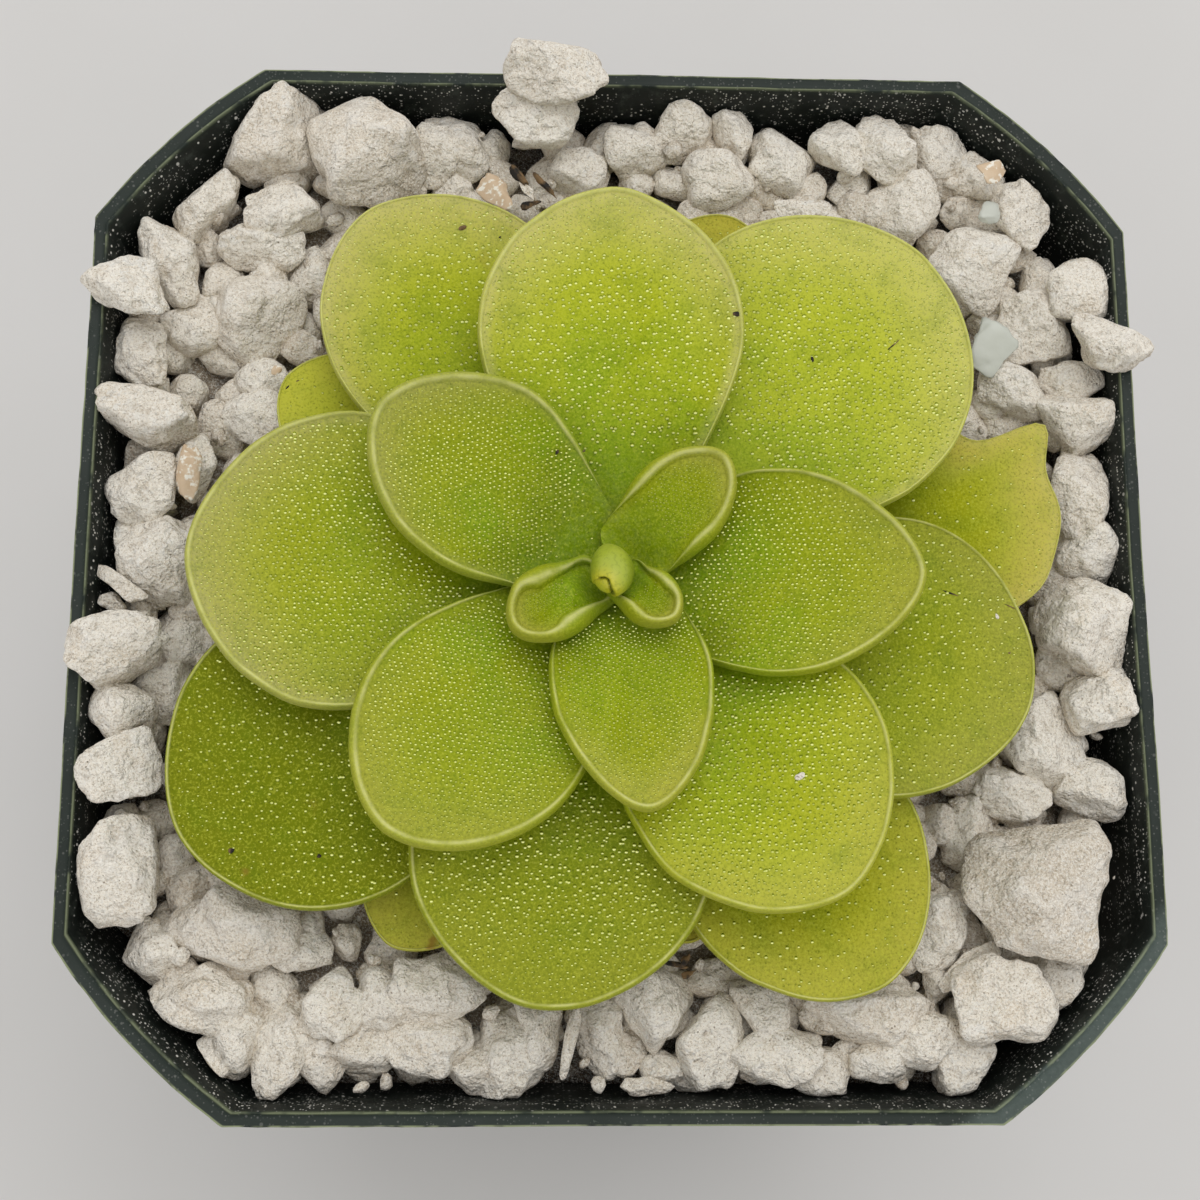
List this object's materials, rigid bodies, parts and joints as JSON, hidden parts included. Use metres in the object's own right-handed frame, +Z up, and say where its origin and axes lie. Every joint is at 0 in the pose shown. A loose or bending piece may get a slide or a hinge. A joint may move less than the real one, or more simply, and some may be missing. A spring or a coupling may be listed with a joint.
{
  "type": "potted butterwort",
  "caption": "Flat rosette of rounded fleshy leaves on a short stem, rooted in a square tapered nursery pot top-dressed with pumice.",
  "frame": {"origin": "middle of the pot's flat underside", "axes": "+Z up along the pot's axis; +X and +Y across the pot's flats; the largest stone lies towards +X, -Y"},
  "size_m": [0.086, 0.087, 0.1],
  "materials": {
    "pot_plastic": "dark green moulded plastic with pale dust",
    "growing_mix": "damp mineral growing mix",
    "pumice": "chalky, porous, unpolished",
    "stem": "pale living tissue",
    "young_leaf": "fleshy, translucent, glistening with fine droplets",
    "leaf": "fleshy, translucent, glistening with droplets",
    "old_leaf": "fleshy, olive yellow, fewer droplets"
  },
  "bodies": {
    "root": {"pot": "pot_plastic", "growing_mix": "growing_mix", "pumice_top_dressing": "pumice", "stem": "stem", "crown_bud": "young_leaf", "leaf_01": "young_leaf", "leaf_02": "young_leaf", "leaf_03": "young_leaf", "leaf_04": "young_leaf", "leaf_05": "leaf", "leaf_06": "leaf", "leaf_07": "leaf", "leaf_08": "leaf", "leaf_09": "leaf", "leaf_10": "leaf", "leaf_11": "leaf", "leaf_12": "leaf", "leaf_13": "leaf", "leaf_14": "leaf", "leaf_15": "old_leaf", "leaf_16": "old_leaf", "leaf_17": "old_leaf", "leaf_18": "old_leaf", "leaf_19": "old_leaf", "leaf_20": "old_leaf", "leaf_21": "old_leaf"}
  },
  "joints": []
}
